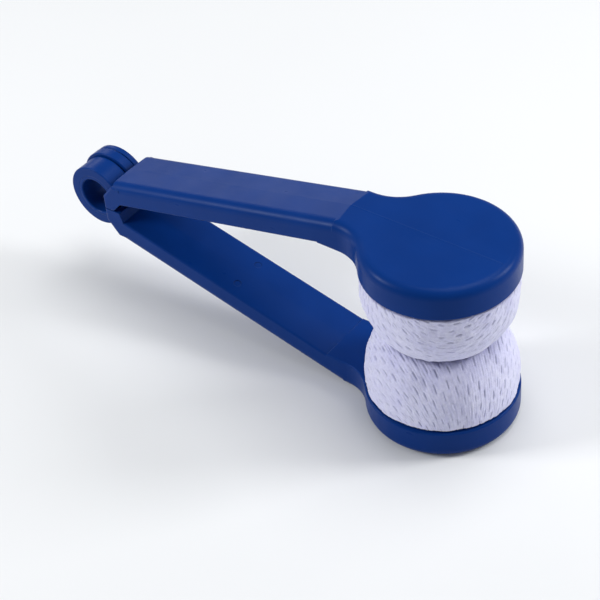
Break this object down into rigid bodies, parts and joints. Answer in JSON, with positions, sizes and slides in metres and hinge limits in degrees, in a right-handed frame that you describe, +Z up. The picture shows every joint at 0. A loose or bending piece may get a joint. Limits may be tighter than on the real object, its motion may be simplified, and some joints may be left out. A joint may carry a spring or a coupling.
{
  "type": "spectacle lens cleaning tongs",
  "caption": "Small hinged plastic tongs with a round microfibre pad on each arm, for wiping both faces of a spectacle lens at once.",
  "frame": {"origin": "middle of the hinge barrel, on the hinge axis, midway between its two ends and on the plane where the two pads meet", "axes": "+X along the arms from the hinge to the pads, Y along the hinge axis, +Z up, square to the faces of the closed paddles"},
  "size_m": [0.0806, 0.023, 0.0311],
  "materials": {
    "blue_plastic": "moulded, semi-gloss royal blue",
    "backing_plastic": "plain moulded, off-white",
    "foam": "open-cell foam, off-white",
    "microfibre": "pale lavender-white looped microfibre pile",
    "thread": "twisted thread, off-white"
  },
  "bodies": {
    "lower_arm": {"lower_arm": "blue_plastic", "hinge_sleeve": "blue_plastic", "lower_pad_backing": "backing_plastic", "lower_foam_core": "foam", "lower_cloth_cover": "microfibre", "lower_gathering_thread": "thread"},
    "upper_arm": {"upper_arm": "blue_plastic", "upper_pad_backing": "backing_plastic", "upper_foam_core": "foam", "upper_cloth_cover": "microfibre", "upper_gathering_thread": "thread"}
  },
  "joints": [
    {"name": "hinge", "type": "hinge", "parent": "lower_arm", "child": "upper_arm", "pos_m": [0, 0, 0], "axis": [0, -1, 0], "range_deg": [0, 180]}
  ]
}
